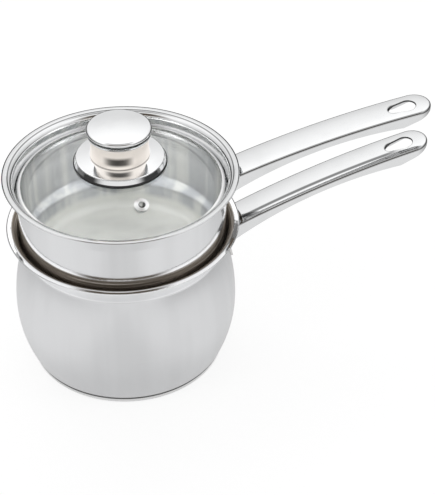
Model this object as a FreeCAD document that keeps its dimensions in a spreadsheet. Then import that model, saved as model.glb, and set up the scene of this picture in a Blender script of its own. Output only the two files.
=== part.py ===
"""Double boiler: a bellied lower saucepan, an insert pan seated in its mouth, and a glass lid.

Millimetres, +Z up, origin at the centre of the lower pan's base, both handles towards +X.
"""
import FreeCAD, Part
import math
import os
import re

import Sketcher

doc = FreeCAD.newDocument("double_boiler")
sheet = doc.addObject("Spreadsheet::Sheet", "Sizes")

# Sizes that a maker would set, each written once.
DRIVING = {
    # Sheet, gaps and edges shared by all pieces
    "pan_sheet": 0.8,
    "seat_gap": 0.3,
    "weld_gap": 0.1,
    "cut_margin": 6,
    # Turned-out lip of both pans
    "rim_radius": 85,
    "lip_reach": 2.5,
    "lip_bend": 4.9,
    # Lower pan
    "lower_rim_height": 114.2,
    "lower_flare_angle": 20,
    "lower_flare_length": 12.2,
    "throat_round": 3.5,
    "belly_inset": 2.5,
    "belly_height": 47,
    "belly_low_radius": 98,
    "foot_corner": 3.5,
    # Sandwich base
    "base_height": 4.4,
    "base_overhang": 1.9,
    "base_corner": 2.4,
    "cap_sheet": 0.7,
    "cap_reveal": 0.5,
    # Insert pan
    "insert_rise": 44.3,
    "insert_inset": 9.4,
    "upper_flare_angle": 13,
    "crease_round": 3,
    "shoulder_radius": 8,
    "shoulder_angle": 65,
    "step_radius": 5,
    "insert_depth": 78.5,
    "insert_corner": 8,
    # Handles, as seen from above and from the side
    "handle_width": 26.8,
    "handle_length": 146.5,
    "handle_tuck": 19,
    "handle_drop": 9,
    "lower_tip_rise": 37.6,
    "upper_tip_rise": 24.4,
    "handle_arc_radius": 760,
    "handle_sheet": 1.2,
    "handle_edge": 2,
    "flange_root_depth": 11.4,
    "flange_heel_depth": 9.2,
    "flange_tip_depth": 3.4,
    "flange_arc_radius": 285,
    "heel_setback": 23.5,
    "strip_sheet": 1,
    "strip_recess": 0.8,
    "strip_bend_setback": 37.5,
    "strip_end_setback": 25.5,
    "trim_depth": 24,
    # Hanging eye near the handle's end
    "eye_setback": 17.5,
    "eye_length": 10,
    "eye_inner_radius": 4.3,
    "eye_outer_radius": 6.3,
    "eye_edge": 0.7,
    # Plates that the handles are welded to
    "bracket_sheet": 1.4,
    "bracket_height": 22,
    "bracket_inset": 0.9,
    "bracket_corner": 4,
    "bracket_clearance": 0.6,
    # Lid band and glass
    "band_inset": 9.9,
    "band_sheet": 0.4,
    "band_lap": 0.3,
    "seal_thickness": 0.25,
    "glass_thickness": 3,
    "glass_ledge": 0.9,
    "dome_rise": 22.3,
    # Steam vent in the glass
    "vent_setback": 24.7,
    "vent_angle": -83.7,
    "vent_bore": 2,
    "vent_wall": 0.6,
    "vent_flange_width": 2.6,
    "vent_flange_height": 0.9,
    "vent_washer_width": 2,
    "vent_washer_height": 1.2,
    "vent_curl_width": 0.8,
    # Knob
    "gasket_height": 1.9,
    "gasket_width": 8,
    "gasket_overhang": 0.6,
    "gasket_round": 0.7,
    "skirt_radius": 32.9,
    "skirt_height": 3.6,
    "skirt_taper": 1.2,
    "skirt_edge": 0.8,
    "skirt_rise": 1.2,
    "skirt_sheet": 0.9,
    "neck_inset": 11.6,
    "neck_taper": 0.9,
    "neck_height": 16.4,
    "neck_waist": 130,
    "neck_sheet": 0.8,
    "cap_overhang": 1.9,
    "cap_flare": 1,
    "cap_side_height": 4.2,
    "cap_side_bulge": 12.6,
    "cap_shoulder": 2.2,
    "cap_crown": 1.6,
    "cap_wall": 0.9,
    "cap_plug": 4,
    # Knob fixing through the glass
    "screw_radius": 2.5,
    "screw_head_overhang": 2.1,
    "screw_head_height": 2.6,
    "screw_grip": 6,
    "nut_wall": 1.5,
    "nut_height": 4,
    "washer_width": 5.5,
    "washer_height": 1,
    "fixing_seal_setback": 0.6,
    "fixing_seal_height": 1.2,
}

# Sizes that follow from the ones above.
DERIVED = {
    # Each pan's mouth is a cone between two bends, whose centres both lie outside the sheet.
    "lower_cos": "cos(lower_flare_angle)",
    "lower_sin": "sin(lower_flare_angle)",
    "upper_cos": "cos(upper_flare_angle)",
    "upper_sin": "sin(upper_flare_angle)",
    "lip_centre": "rim_radius - lip_reach",
    "lower_lip_level": "lower_rim_height - pan_sheet - lip_bend",
    "throat_centre": "lip_centre - (lip_bend - throat_round) * lower_cos - lower_flare_length * lower_sin",
    "throat_height": "lower_lip_level + (lip_bend - throat_round) * lower_sin"
                     " - lower_flare_length * lower_cos",
    # The belly runs into the throat's bend without a kink.
    "belly_radius": "rim_radius - belly_inset",
    "belly_high_radius": "((throat_centre - belly_radius)^2 + (throat_height - belly_height)^2"
                         " - throat_round^2) / (2 * (throat_round - throat_centre + belly_radius))",
    "belly_high_centre": "belly_radius - belly_high_radius",
    "throat_share": "belly_high_radius / (belly_high_radius + throat_round)",
    "throat_reach": "belly_high_centre + throat_share * (throat_centre - belly_high_centre)",
    "throat_level": "belly_height + throat_share * (throat_height - belly_height)",
    "belly_low_centre": "belly_radius - belly_low_radius",
    "foot_rise": "belly_height - base_height - foot_corner",
    "foot_reach": "sqrt((belly_low_radius - foot_corner)^2 - foot_rise^2)",
    "foot_share": "belly_low_radius / (belly_low_radius - foot_corner)",
    "base_radius": "belly_low_centre + foot_reach + base_overhang",
    # The insert's wall ends in the bend at the foot of its own cone.
    "upper_rim_height": "lower_rim_height + insert_rise",
    "upper_lip_level": "upper_rim_height - pan_sheet - lip_bend",
    "insert_radius": "rim_radius - insert_inset",
    "crease_centre": "insert_radius + crease_round",
    "upper_flare_length": "(lip_centre - (lip_bend - crease_round) * upper_cos - crease_centre) / upper_sin",
    "crease_height": "upper_lip_level + (lip_bend - crease_round) * upper_sin"
                     " - upper_flare_length * upper_cos",
    # The insert's shoulder rests on the inside of the lower cone, one seat gap away from it.
    "seat_reach": "throat_centre - (throat_round + pan_sheet) * lower_cos",
    "seat_level": "throat_height + (throat_round + pan_sheet) * lower_sin",
    "shoulder_centre": "insert_radius - shoulder_radius",
    "shoulder_height": "seat_level + (shoulder_radius + seat_gap"
                       " + (shoulder_centre - seat_reach) * lower_cos) / lower_sin",
    "shoulder_cos": "cos(shoulder_angle)",
    "shoulder_sin": "sin(shoulder_angle)",
    "step_reach": "shoulder_centre + shoulder_radius * shoulder_cos",
    "step_level": "shoulder_height - shoulder_radius * shoulder_sin",
    "well_radius": "step_reach - step_radius * (1 - shoulder_cos)",
    "well_level": "step_level - step_radius * shoulder_sin",
    "insert_floor_height": "upper_rim_height - insert_depth",
    "well_floor": "insert_floor_height - pan_sheet",
    # Weld plates
    "bracket_width": "handle_width - 2 * bracket_inset",
    "bracket_face": "weld_gap + bracket_sheet",
    "root_gap": "bracket_face + weld_gap",
    "upper_bracket_level": "crease_height - bracket_clearance",
    # The lid's band rests on the inside of the upper cone, one seat gap away from it.
    "lid_seat_reach": "crease_centre - (crease_round + pan_sheet) * upper_cos",
    "lid_seat_level": "crease_height + (crease_round + pan_sheet) * upper_sin",
    "band_corner": "glass_thickness / 2 + seal_thickness + band_sheet + 2 * weld_gap",
    "fold_centre": "rim_radius - band_inset - band_corner",
    "fold_height": "lid_seat_level + (band_corner + seat_gap + (fold_centre - lid_seat_reach) * upper_cos)"
                   " / upper_sin",
    "lid_height": "fold_height - band_corner",
    "glass_low": "band_corner - glass_thickness / 2",
    "glass_high": "band_corner + glass_thickness / 2",
    "dome_edge_radius": "fold_centre - glass_ledge",
    "dome_radius": "(dome_edge_radius^2 + dome_rise^2) / (2 * dome_rise)",
    "dome_centre": "glass_high + dome_rise - dome_radius",
    # Vent
    "vent_tilt": "asin((fold_centre - vent_setback) / dome_radius)",
    "vent_tube": "vent_bore + vent_wall",
    "vent_flange": "vent_tube + vent_flange_width",
    "vent_curl": "vent_tube + vent_curl_width",
    "vent_washer_radius": "vent_tube + vent_washer_width",
    # Knob, with its levels above the lid's own base plane
    "gasket_radius": "skirt_radius + gasket_overhang",
    "gasket_bore": "gasket_radius - gasket_width",
    "knob_low": "dome_centre + sqrt(dome_radius^2 - skirt_radius^2) + gasket_height",
    "skirt_high": "knob_low + skirt_height",
    "neck_low": "skirt_high + skirt_rise",
    "neck_high": "neck_low + neck_height",
    "neck_radius": "skirt_radius - neck_inset",
    "neck_top_radius": "neck_radius - neck_taper",
    "cap_low": "neck_high + weld_gap",
    "cap_skirt_radius": "neck_top_radius + cap_overhang",
    "cap_radius": "cap_skirt_radius + cap_flare",
    "cap_crown_radius": "((cap_radius - cap_shoulder)^2 + cap_crown^2) / (2 * cap_crown)",
    # Knob fixing
    "screw_head_radius": "screw_radius + screw_head_overhang",
    "nut_width": "2 * (screw_radius + nut_wall)",
    "washer_radius": "screw_radius + washer_width",
    "fixing_seal_radius": "washer_radius - fixing_seal_setback",
    "screw_seat": "dome_centre + sqrt((dome_radius - glass_thickness)^2 - fixing_seal_radius^2)"
                  " - fixing_seal_height - washer_height - 2 * weld_gap",
    # Places along the handles
    "handle_reach": "rim_radius + handle_length",
    "handle_start": "rim_radius - handle_tuck",
    "heel_reach": "handle_reach - heel_setback",
    "heel_run": "heel_reach - rim_radius",
    "flange_root": "-handle_drop - flange_root_depth",
    "strip_bend_reach": "handle_reach - strip_bend_setback",
    "strip_end_reach": "handle_reach - strip_end_setback",
    "eye_outer_reach": "handle_reach - eye_setback",
    "eye_inner_reach": "eye_outer_reach - eye_length",
}


def handle_sizes(side):
    """Sizes of one handle's top arc and of the arc along the lower edge of its sides."""
    return {
        f"{side}_block": f"{side}_tip_rise + handle_drop + flange_root_depth + trim_depth",
        f"{side}_rise": f"{side}_tip_rise + handle_drop",
        f"{side}_chord": f"sqrt(handle_length^2 + {side}_rise^2)",
        f"{side}_depth": f"sqrt(handle_arc_radius^2 - {side}_chord^2 / 4)",
        f"{side}_centre_x": f"(handle_reach + rim_radius) / 2 + {side}_depth * {side}_rise / {side}_chord",
        f"{side}_centre_z": f"({side}_tip_rise - handle_drop) / 2"
                            f" - {side}_depth * handle_length / {side}_chord",
        f"{side}_heel": f"{side}_centre_z + sqrt(handle_arc_radius^2 - (heel_reach - {side}_centre_x)^2)"
                        " - flange_heel_depth",
        f"{side}_heel_rise": f"{side}_heel - flange_root",
        f"{side}_heel_chord": f"sqrt(heel_run^2 + {side}_heel_rise^2)",
        f"{side}_heel_depth": f"sqrt(flange_arc_radius^2 - {side}_heel_chord^2 / 4)",
        f"{side}_flange_x": "(heel_reach + rim_radius) / 2"
                            f" + {side}_heel_depth * {side}_heel_rise / {side}_heel_chord",
        f"{side}_flange_z": f"({side}_heel + flange_root) / 2"
                            f" - {side}_heel_depth * heel_run / {side}_heel_chord",
    }


DERIVED.update(handle_sizes("lower"))
DERIVED.update(handle_sizes("upper"))

row = 0
for alias, content in list(DRIVING.items()) + [(name, "=" + text) for name, text in DERIVED.items()]:
    row += 1
    sheet.set(f"A{row}", alias)
    sheet.set(f"B{row}", str(content))
    sheet.setAlias(f"B{row}", alias)
doc.recompute()

ALIASES = set(DRIVING) | set(DERIVED)

# Both ends of the side cuts, clear of the handle
CUT_NEAR = "(handle_start - cut_margin)"
CUT_FAR = "(handle_reach + cut_margin)"
EDGE_TOLERANCE = 0.01


def bound(text):
    """The same expression with each size written as a cell of the sheet."""
    return re.sub(r"[a-z][a-z_]*", lambda word: f"Sizes.{word[0]}" if word[0] in ALIASES else word[0], text)


def value(text):
    """What an expression of sizes comes to, in millimetres or degrees."""
    return float(sheet.evalExpression(re.sub(r"Sizes\.", "", text)))


def arc_height(reach, centre_x, centre_z, radius):
    """Height of an arc that bulges upwards, as an expression."""
    return f"{centre_z} + sqrt(({radius})^2 - ({reach} - {centre_x})^2)"


def new_body(name):
    """A body whose label names its node."""
    body = doc.addObject("PartDesign::Body", name)
    body.Label = name
    return body


def lift(piece, level):
    """Puts a piece's own base plane at a height above the base."""
    piece.setExpression("Placement.Base.z", bound(level))


def sketch_on(body, role, name):
    """An empty sketch on one of the body's own origin planes."""
    sketch = body.newObject("Sketcher::SketchObject", name)
    plane = next(feature for feature in body.Origin.OriginFeatures if feature.Role == role)
    sketch.AttachmentSupport = [(plane, "")]
    sketch.MapMode = "FlatFace"
    return sketch


def pin(sketch, geometry, end, place):
    """Ties one point of a sketch to expressions for its two coordinates."""
    for kind, axis, text in (("DistanceX", -2, place[0]), ("DistanceY", -1, place[1])):
        if text == "0":
            sketch.addConstraint(Sketcher.Constraint("PointOnObject", geometry, end, axis))
            continue
        index = sketch.addConstraint(Sketcher.Constraint(kind, -1, 1, geometry, end, value(text)))
        sketch.setExpression(f"Constraints[{index}]", bound(text))


def arc_between(first, last, radius, turn):
    """The shorter arc between two points, with turn 1 for a left-hand bend and -1 for a right-hand one."""
    chord = last - first
    reach = math.sqrt(max(radius ** 2 - chord.Length ** 2 / 4, 0))
    side = FreeCAD.Vector(-chord.y, chord.x, 0).normalize()
    centre = (first + last) / 2 + side * reach * turn
    begin, finish = (first, last) if turn > 0 else (last, first)
    angles = [math.atan2(point.y - centre.y, point.x - centre.x) for point in (begin, finish)]
    circle = Part.Circle(centre, FreeCAD.Vector(0, 0, 1), radius)
    return Part.ArcOfCircle(circle, *angles)


def outline(sketch, *corners):
    """Draws a closed outline. A corner is (x, y), or (x, y, radius, turn) where an arc leads to it."""
    places = [FreeCAD.Vector(value(corner[0]), value(corner[1]), 0) for corner in corners]
    ends = []
    for index, corner in enumerate(corners):
        first, last = places[index - 1], places[index]
        if len(corner) == 2:
            edge = sketch.addGeometry(Part.LineSegment(first, last))
            ends.append((edge, 1, 2))
            continue
        radius, turn = corner[2:]
        edge = sketch.addGeometry(arc_between(first, last, value(radius), turn))
        ends.append((edge, 1, 2) if turn > 0 else (edge, 2, 1))
        rule = sketch.addConstraint(Sketcher.Constraint("Radius", edge, value(radius)))
        sketch.setExpression(f"Constraints[{rule}]", bound(radius))
    for index, corner in enumerate(corners):
        edge, start, finish = ends[index]
        following = ends[(index + 1) % len(ends)]
        sketch.addConstraint(Sketcher.Constraint("Coincident", edge, finish, following[0], following[1]))
        pin(sketch, edge, finish, corner)


def circle(sketch, radius):
    """Draws a circle about the sketch's origin."""
    shape = Part.Circle(FreeCAD.Vector(), FreeCAD.Vector(0, 0, 1), value(radius))
    ring = sketch.addGeometry(shape)
    sketch.addConstraint(Sketcher.Constraint("Coincident", ring, 3, -1, 1))
    rule = sketch.addConstraint(Sketcher.Constraint("Radius", ring, value(radius)))
    sketch.setExpression(f"Constraints[{rule}]", bound(radius))


def revolved(name, *corners):
    """A body turned about Z from an outline of (radius, height) corners."""
    body = new_body(name)
    sketch = sketch_on(body, "XZ_Plane", f"{name}_section")
    outline(sketch, *corners)
    turn = body.newObject("PartDesign::Revolution", f"{name}_turn")
    turn.Profile = sketch
    turn.ReferenceAxis = (sketch, ["V_Axis"])
    turn.Angle = 360
    return body


def combined(kind, name, base, tool):
    """One piece cut by another, or what both share, under the node's own name."""
    result = doc.addObject(kind, name)
    result.Label = name
    result.Base = base
    result.Tool = tool
    return result


# Lower pan and its sandwich base

def cone_point(centre, level, radius, side):
    """The point of a bend where the cone of a pan's mouth leaves it."""
    return f"{centre} - ({radius}) * {side}_cos", f"{level} + ({radius}) * {side}_sin"


def cone_reach(start, level, side):
    """Radius at a level of the cone through a point."""
    return f"{start[0]} + ({level} - ({start[1]})) * {side}_sin / {side}_cos"


def mouth(side, centre, level, bend):
    """Corners of a pan's mouth: from the bend at its foot up the outside, round the lip, down the inside."""
    rim = f"{side}_rim_height"
    half = "pan_sheet / 2"
    lip = ("lip_centre", f"{side}_lip_level")
    inner_lip = "lip_bend + pan_sheet"
    return [
        (*cone_point(centre, level, bend, side), bend, -1),
        cone_point(*lip, "lip_bend", side),
        ("lip_centre", f"{rim} - pan_sheet", "lip_bend", -1),
        (f"rim_radius - {half}", f"{rim} - pan_sheet"),
        ("rim_radius", f"{rim} - {half}", half, 1),
        (f"rim_radius - {half}", rim, half, 1),
        ("lip_centre", rim),
        (*cone_point(*lip, inner_lip, side), inner_lip, 1),
        cone_point(centre, level, f"{bend} + pan_sheet", side),
    ]


def lower_pan_shell():
    """Belly, drawn-in throat and flared mouth, one sheet of even thickness."""
    foot_x = "belly_low_centre + foot_reach * foot_share"
    foot_z = "belly_height - foot_rise * foot_share"
    share = "pan_sheet / belly_low_radius"
    throat = "pan_sheet / belly_high_radius"
    inner_foot_x = f"({foot_x}) - {share} * (foot_reach * foot_share)"
    inner_foot_z = f"({foot_z}) + {share} * (foot_rise * foot_share)"
    return revolved(
        "lower_pan_shell",
        ("0", "base_height + pan_sheet"),
        ("0", "base_height"),
        ("belly_low_centre + foot_reach", "base_height"),
        (foot_x, foot_z, "foot_corner", 1),
        ("belly_radius", "belly_height", "belly_low_radius", 1),
        ("throat_reach", "throat_level", "belly_high_radius", 1),
        *mouth("lower", "throat_centre", "throat_height", "throat_round"),
        (f"throat_reach - {throat} * (throat_reach - belly_high_centre)",
         f"throat_level - {throat} * (throat_level - belly_height)", "throat_round + pan_sheet", 1),
        ("belly_radius - pan_sheet", "belly_height", "belly_high_radius - pan_sheet", -1),
        (inner_foot_x, inner_foot_z, "belly_low_radius - pan_sheet", -1),
        ("belly_low_centre + foot_reach", "base_height + pan_sheet", "foot_corner - pan_sheet", -1),
    )


def base_heat_disc():
    """Aluminium disc that spreads the heat, held between the pan and the cap."""
    edge = "base_radius - cap_sheet - seat_gap"
    return revolved(
        "base_heat_disc",
        ("0", "base_height"),
        ("0", "cap_sheet"),
        (f"{edge} - base_corner", "cap_sheet"),
        (edge, "cap_sheet + base_corner", "base_corner", 1),
        (edge, "base_height"),
    )


def base_cap():
    """Steel cap over the disc, with the flat face that the double boiler stands on."""
    inner = "base_radius - cap_sheet"
    inner_corner = "base_corner - cap_sheet"
    top = "base_height - cap_reveal"
    return revolved(
        "base_cap",
        ("0", "cap_sheet"),
        ("0", "0"),
        ("base_radius - base_corner", "0"),
        ("base_radius", "base_corner", "base_corner", 1),
        ("base_radius", top),
        (inner, top),
        (inner, "base_corner"),
        ("base_radius - base_corner", "cap_sheet", inner_corner, -1),
    )


# Insert pan

def upper_pan_shell():
    """Straight wall, flared mouth, rounded shoulder and a narrower well that hangs in the lower pan."""
    inner = "insert_radius - pan_sheet"
    inner_shoulder = "shoulder_radius - pan_sheet"
    inner_well = "well_radius - pan_sheet"
    corner_level = "well_floor + insert_corner"
    corner_reach = "well_radius - insert_corner"
    return revolved(
        "upper_pan_shell",
        ("0", "insert_floor_height"),
        ("0", "well_floor"),
        (corner_reach, "well_floor"),
        ("well_radius", corner_level, "insert_corner", 1),
        ("well_radius", "well_level"),
        ("step_reach", "step_level", "step_radius", -1),
        ("insert_radius", "shoulder_height", "shoulder_radius", 1),
        ("insert_radius", "crease_height"),
        *mouth("upper", "crease_centre", "crease_height", "crease_round"),
        (inner, "crease_height", "crease_round + pan_sheet", 1),
        (inner, "shoulder_height"),
        ("step_reach - pan_sheet * shoulder_cos", "step_level + pan_sheet * shoulder_sin",
         inner_shoulder, -1),
        (inner_well, "well_level", "step_radius + pan_sheet", 1),
        (inner_well, corner_level),
        (corner_reach, "insert_floor_height", "insert_corner - pan_sheet", -1),
    )


# Handles

def plan_pad(name, half_width, end_reach, side):
    """A tall block with the handle's outline from above: straight sides and a round end."""
    body = new_body(name)
    sketch = sketch_on(body, "XY_Plane", f"{name}_plan")
    outline(
        sketch,
        ("handle_start", half_width),
        ("handle_start", f"-({half_width})"),
        (f"{end_reach} - ({half_width})", f"-({half_width})"),
        (end_reach, "0", half_width, 1),
        (f"{end_reach} - ({half_width})", half_width, half_width, 1),
    )
    padded(body, sketch, f"2 * {side}_block")
    return body


def padded(body, sketch, length):
    """Thickens a sketch by half the length to each side."""
    pad = body.newObject("PartDesign::Pad", f"{sketch.Name}_pad")
    pad.Profile = sketch
    pad.Midplane = True
    pad.setExpression("Length", bound(length))
    return pad


def through_cut(body, sketch):
    """Cuts a sketch right through the body, both ways."""
    pocket = body.newObject("PartDesign::Pocket", f"{sketch.Name}_cut")
    pocket.Profile = sketch
    pocket.Type = "ThroughAll"
    pocket.Midplane = True
    return pocket


def trim_above(body, name, side, radius):
    """Takes away what lies above an arc about the centre of the handle's top."""
    centre = (f"{side}_centre_x", f"{side}_centre_z")
    ceiling = f"{side}_block + cut_margin"
    sketch = sketch_on(body, "XZ_Plane", name)
    outline(
        sketch,
        (CUT_NEAR, ceiling),
        (CUT_NEAR, arc_height(CUT_NEAR, *centre, radius)),
        (CUT_FAR, arc_height(CUT_FAR, *centre, radius), radius, -1),
        (CUT_FAR, ceiling),
    )
    return through_cut(body, sketch)


def trim_below(body, name, side):
    """Takes away what lies below the lower edge of the handle's sides: a long arc, then a straight end."""
    flange = (f"{side}_flange_x", f"{side}_flange_z")
    floor = f"-{side}_block - cut_margin"
    tip = f"{side}_tip_rise - flange_tip_depth"
    slope = f"({tip} - {side}_heel) / (handle_reach - heel_reach)"
    sketch = sketch_on(body, "XZ_Plane", name)
    outline(
        sketch,
        (CUT_NEAR, floor),
        (CUT_FAR, floor),
        (CUT_FAR, f"{tip} + cut_margin * {slope}"),
        ("heel_reach", f"{side}_heel"),
        (CUT_NEAR, arc_height(CUT_NEAR, *flange, "flange_arc_radius"), "flange_arc_radius", 1),
    )
    return through_cut(body, sketch)


def eye_cut(body, name):
    """Cuts the hanging eye, a drop shape that is wider towards the handle's end."""
    slope = "(eye_outer_radius - eye_inner_radius) / (eye_outer_reach - eye_inner_reach)"
    across = f"sqrt(1 - ({slope})^2)"
    sketch = sketch_on(body, "XY_Plane", name)
    inner = (f"eye_inner_reach - eye_inner_radius * {slope}", f"eye_inner_radius * {across}")
    outer = (f"eye_outer_reach - eye_outer_radius * {slope}", f"eye_outer_radius * {across}")
    outline(
        sketch,
        inner,
        ("eye_inner_reach - eye_inner_radius", "0", "eye_inner_radius", 1),
        (inner[0], f"-{inner[1]}", "eye_inner_radius", 1),
        (outer[0], f"-{outer[1]}"),
        ("eye_outer_reach + eye_outer_radius", "0", "eye_outer_radius", 1),
        (*outer, "eye_outer_radius", 1),
    )
    return through_cut(body, sketch)


def crown_edges(feature, side):
    """Names of the edges round the handle's top and of those round its hanging eye."""
    centre = FreeCAD.Vector(value(f"{side}_centre_x"), 0, value(f"{side}_centre_z"))
    eye_end = value("eye_outer_reach + eye_outer_radius") + EDGE_TOLERANCE
    eye_side = value("eye_outer_radius") + EDGE_TOLERANCE
    around, eye = [], []
    for index, edge in enumerate(feature.Shape.Edges, 1):
        points = edge.discretize(9)
        spans = [math.hypot(point.x - centre.x, point.z - centre.z) for point in points]
        if max(abs(span - value("handle_arc_radius")) for span in spans) > EDGE_TOLERANCE:
            continue
        far = max(point.x for point in points)
        wide = max(abs(point.y) for point in points)
        if far < eye_end and wide < eye_side:
            eye.append(f"Edge{index}")
        elif far > value("handle_start") + EDGE_TOLERANCE:
            around.append(f"Edge{index}")
    return around, eye


def rounded(body, name, base, names, radius):
    """Rounds named edges of the body's last feature."""
    fillet = body.newObject("PartDesign::Fillet", name)
    fillet.Base = (base, names)
    fillet.setExpression("Radius", bound(radius))
    doc.recompute()
    return fillet


def handle_shell(side, root_trim, rim):
    """Pressed channel with a crowned top, turned-down sides and a hanging eye, open below and at the root."""
    name = f"{side}_handle"
    half = "handle_width / 2"
    outer = plan_pad(f"{name}_outer", half, "handle_reach", side)
    trim_above(outer, f"{name}_crown", side, "handle_arc_radius")
    trim_below(outer, f"{name}_flange", side)
    last = eye_cut(outer, f"{name}_eye")
    doc.recompute()
    last = rounded(outer, f"{name}_round", last, crown_edges(last, side)[0], "handle_edge")
    rounded(outer, f"{name}_eye_round", last, crown_edges(last, side)[1], "eye_edge")
    inner = plan_pad(f"{name}_inner", f"{half} - handle_sheet", "handle_reach - handle_sheet", side)
    trim_above(inner, f"{name}_ceiling", side, "handle_arc_radius - handle_sheet")
    for piece in (outer, inner):
        lift(piece, rim)
    channel = combined("Part::Cut", f"{name}_channel", outer, inner)
    return combined("Part::Cut", f"{name}_shell", channel, root_trim)


def handle_strip(side, root_trim, rim):
    """Strip that closes the channel from below and turns up to meet the top around the hanging eye."""
    name = f"{side}_handle_strip"
    flange = (f"{side}_flange_x", f"{side}_flange_z")
    crown = (f"{side}_centre_x", f"{side}_centre_z", "handle_arc_radius - handle_sheet - weld_gap")
    low = "flange_arc_radius + strip_recess"
    high = f"{low} + strip_sheet"
    bend = "strip_bend_reach"
    end = "strip_end_reach"
    body = new_body(f"{name}_whole")
    sketch = sketch_on(body, "XZ_Plane", f"{name}_side")
    outline(
        sketch,
        (CUT_NEAR, arc_height(CUT_NEAR, *flange, low)),
        (bend, arc_height(bend, *flange, low), low, -1),
        (end, arc_height(end, *crown)),
        (f"{end} - strip_sheet", arc_height(f"({end} - strip_sheet)", *crown)),
        (f"{bend} - strip_sheet", arc_height(f"({bend} - strip_sheet)", *flange, high)),
        (CUT_NEAR, arc_height(CUT_NEAR, *flange, high), high, 1),
    )
    padded(body, sketch, "handle_width - 2 * (handle_sheet + weld_gap)")
    eye_cut(body, f"{name}_eye")
    lift(body, rim)
    return combined("Part::Cut", name, body, root_trim)


def weld_plate(name, middle, band):
    """The part of a band round the pan that lies in a rounded window facing +X."""
    half_width = "bracket_width / 2"
    half_height = "bracket_height / 2"
    straight = (f"{half_width} - bracket_corner", f"{half_height} - bracket_corner")
    window = new_body(f"{name}_window")
    sketch = sketch_on(window, "YZ_Plane", f"{name}_face")
    outline(
        sketch,
        (half_width, straight[1]),
        (straight[0], half_height, "bracket_corner", 1),
        (f"-({straight[0]})", half_height),
        (f"-{half_width}", straight[1], "bracket_corner", 1),
        (f"-{half_width}", f"-({straight[1]})"),
        (f"-({straight[0]})", f"-{half_height}", "bracket_corner", 1),
        (straight[0], f"-{half_height}"),
        (half_width, f"-({straight[1]})", "bracket_corner", 1),
    )
    pad = window.newObject("PartDesign::Pad", f"{name}_depth")
    pad.Profile = sketch
    pad.setExpression("Length", bound("rim_radius + cut_margin"))
    lift(window, middle)
    return combined("Part::Common", name, band, window)


def lower_bracket_and_trim():
    """Weld plate that follows the belly, and the solid that trims the lower handle's root to the pan."""

    def belly(level, offset):
        return f"belly_high_centre + sqrt((belly_high_radius + {offset})^2 - ({level} - belly_height)^2)"

    high = "throat_level"
    low = f"({high} - bracket_height)"
    band = revolved(
        "lower_bracket_band",
        (belly(low, "weld_gap"), low, "belly_high_radius + weld_gap", -1),
        (belly(low, "bracket_face"), low),
        (belly(high, "bracket_face"), high, "belly_high_radius + bracket_face", 1),
        (belly(high, "weld_gap"), high),
    )
    plate = weld_plate("lower_handle_bracket", f"{high} - bracket_height / 2", band)
    foot = f"({low} - trim_depth)"
    share = "root_gap / belly_high_radius"
    bend = "throat_round - root_gap"
    cone = cone_point("throat_centre", "throat_height", bend, "lower")
    trim = revolved(
        "lower_root_trim",
        ("0", "lower_lip_level"),
        ("0", foot),
        (belly(foot, "root_gap"), foot),
        (f"throat_reach + {share} * (throat_reach - belly_high_centre)",
         f"throat_level + {share} * (throat_level - belly_height)", "belly_high_radius + root_gap", 1),
        (*cone, bend, -1),
        (cone_reach(cone, "lower_lip_level", "lower"), "lower_lip_level"),
    )
    return plate, trim


def upper_bracket_and_trim():
    """Weld plate on the insert's wall, and the solid that trims the upper handle's root to the pan."""
    high = "upper_bracket_level"
    low = f"{high} - bracket_height"
    band = flat_ring("upper_bracket_band", "insert_radius + weld_gap", "insert_radius + bracket_face",
                     low, "bracket_height")
    plate = weld_plate("upper_handle_bracket", f"{high} - bracket_height / 2", band)
    foot = f"{low} - trim_depth"
    wall = "insert_radius + root_gap"
    cone = cone_point("crease_centre", "crease_height", "crease_round - root_gap", "upper")
    kink = f"{cone[1]} + ({wall} - ({cone[0]})) * upper_cos / upper_sin"
    trim = revolved(
        "upper_root_trim",
        ("0", "upper_lip_level"),
        ("0", foot),
        (wall, foot),
        (wall, kink),
        (cone_reach(cone, "upper_lip_level", "upper"), "upper_lip_level"),
    )
    return plate, trim


# Lid

def folded_ring(name, corner, thickness):
    """A ring of U-shaped section, open inwards, folded round the rounded edge of the glass."""
    lap = "fold_centre - band_lap"
    fold = f"{corner} - {thickness}"
    ring = revolved(
        name,
        (lap, f"-({fold})"),
        (lap, f"-({corner})"),
        ("fold_centre", f"-({corner})"),
        (f"fold_centre + {corner}", "0", corner, 1),
        ("fold_centre", corner, corner, 1),
        (lap, corner),
        (lap, fold),
        ("fold_centre", fold),
        (f"fold_centre + {fold}", "0", fold, -1),
        ("fold_centre", f"-({fold})", fold, -1),
    )
    lift(ring, "fold_height")
    return ring


def lid_rim_band():
    """Half-round steel band folded round the edge of the glass, which rests in the insert's cone."""
    return folded_ring("lid_rim_band", "band_corner", "band_sheet")


def lid_rim_seal():
    """Silicone strip between the band and the edge of the glass."""
    return folded_ring("lid_rim_seal", "band_corner - band_sheet - weld_gap", "seal_thickness")


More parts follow.
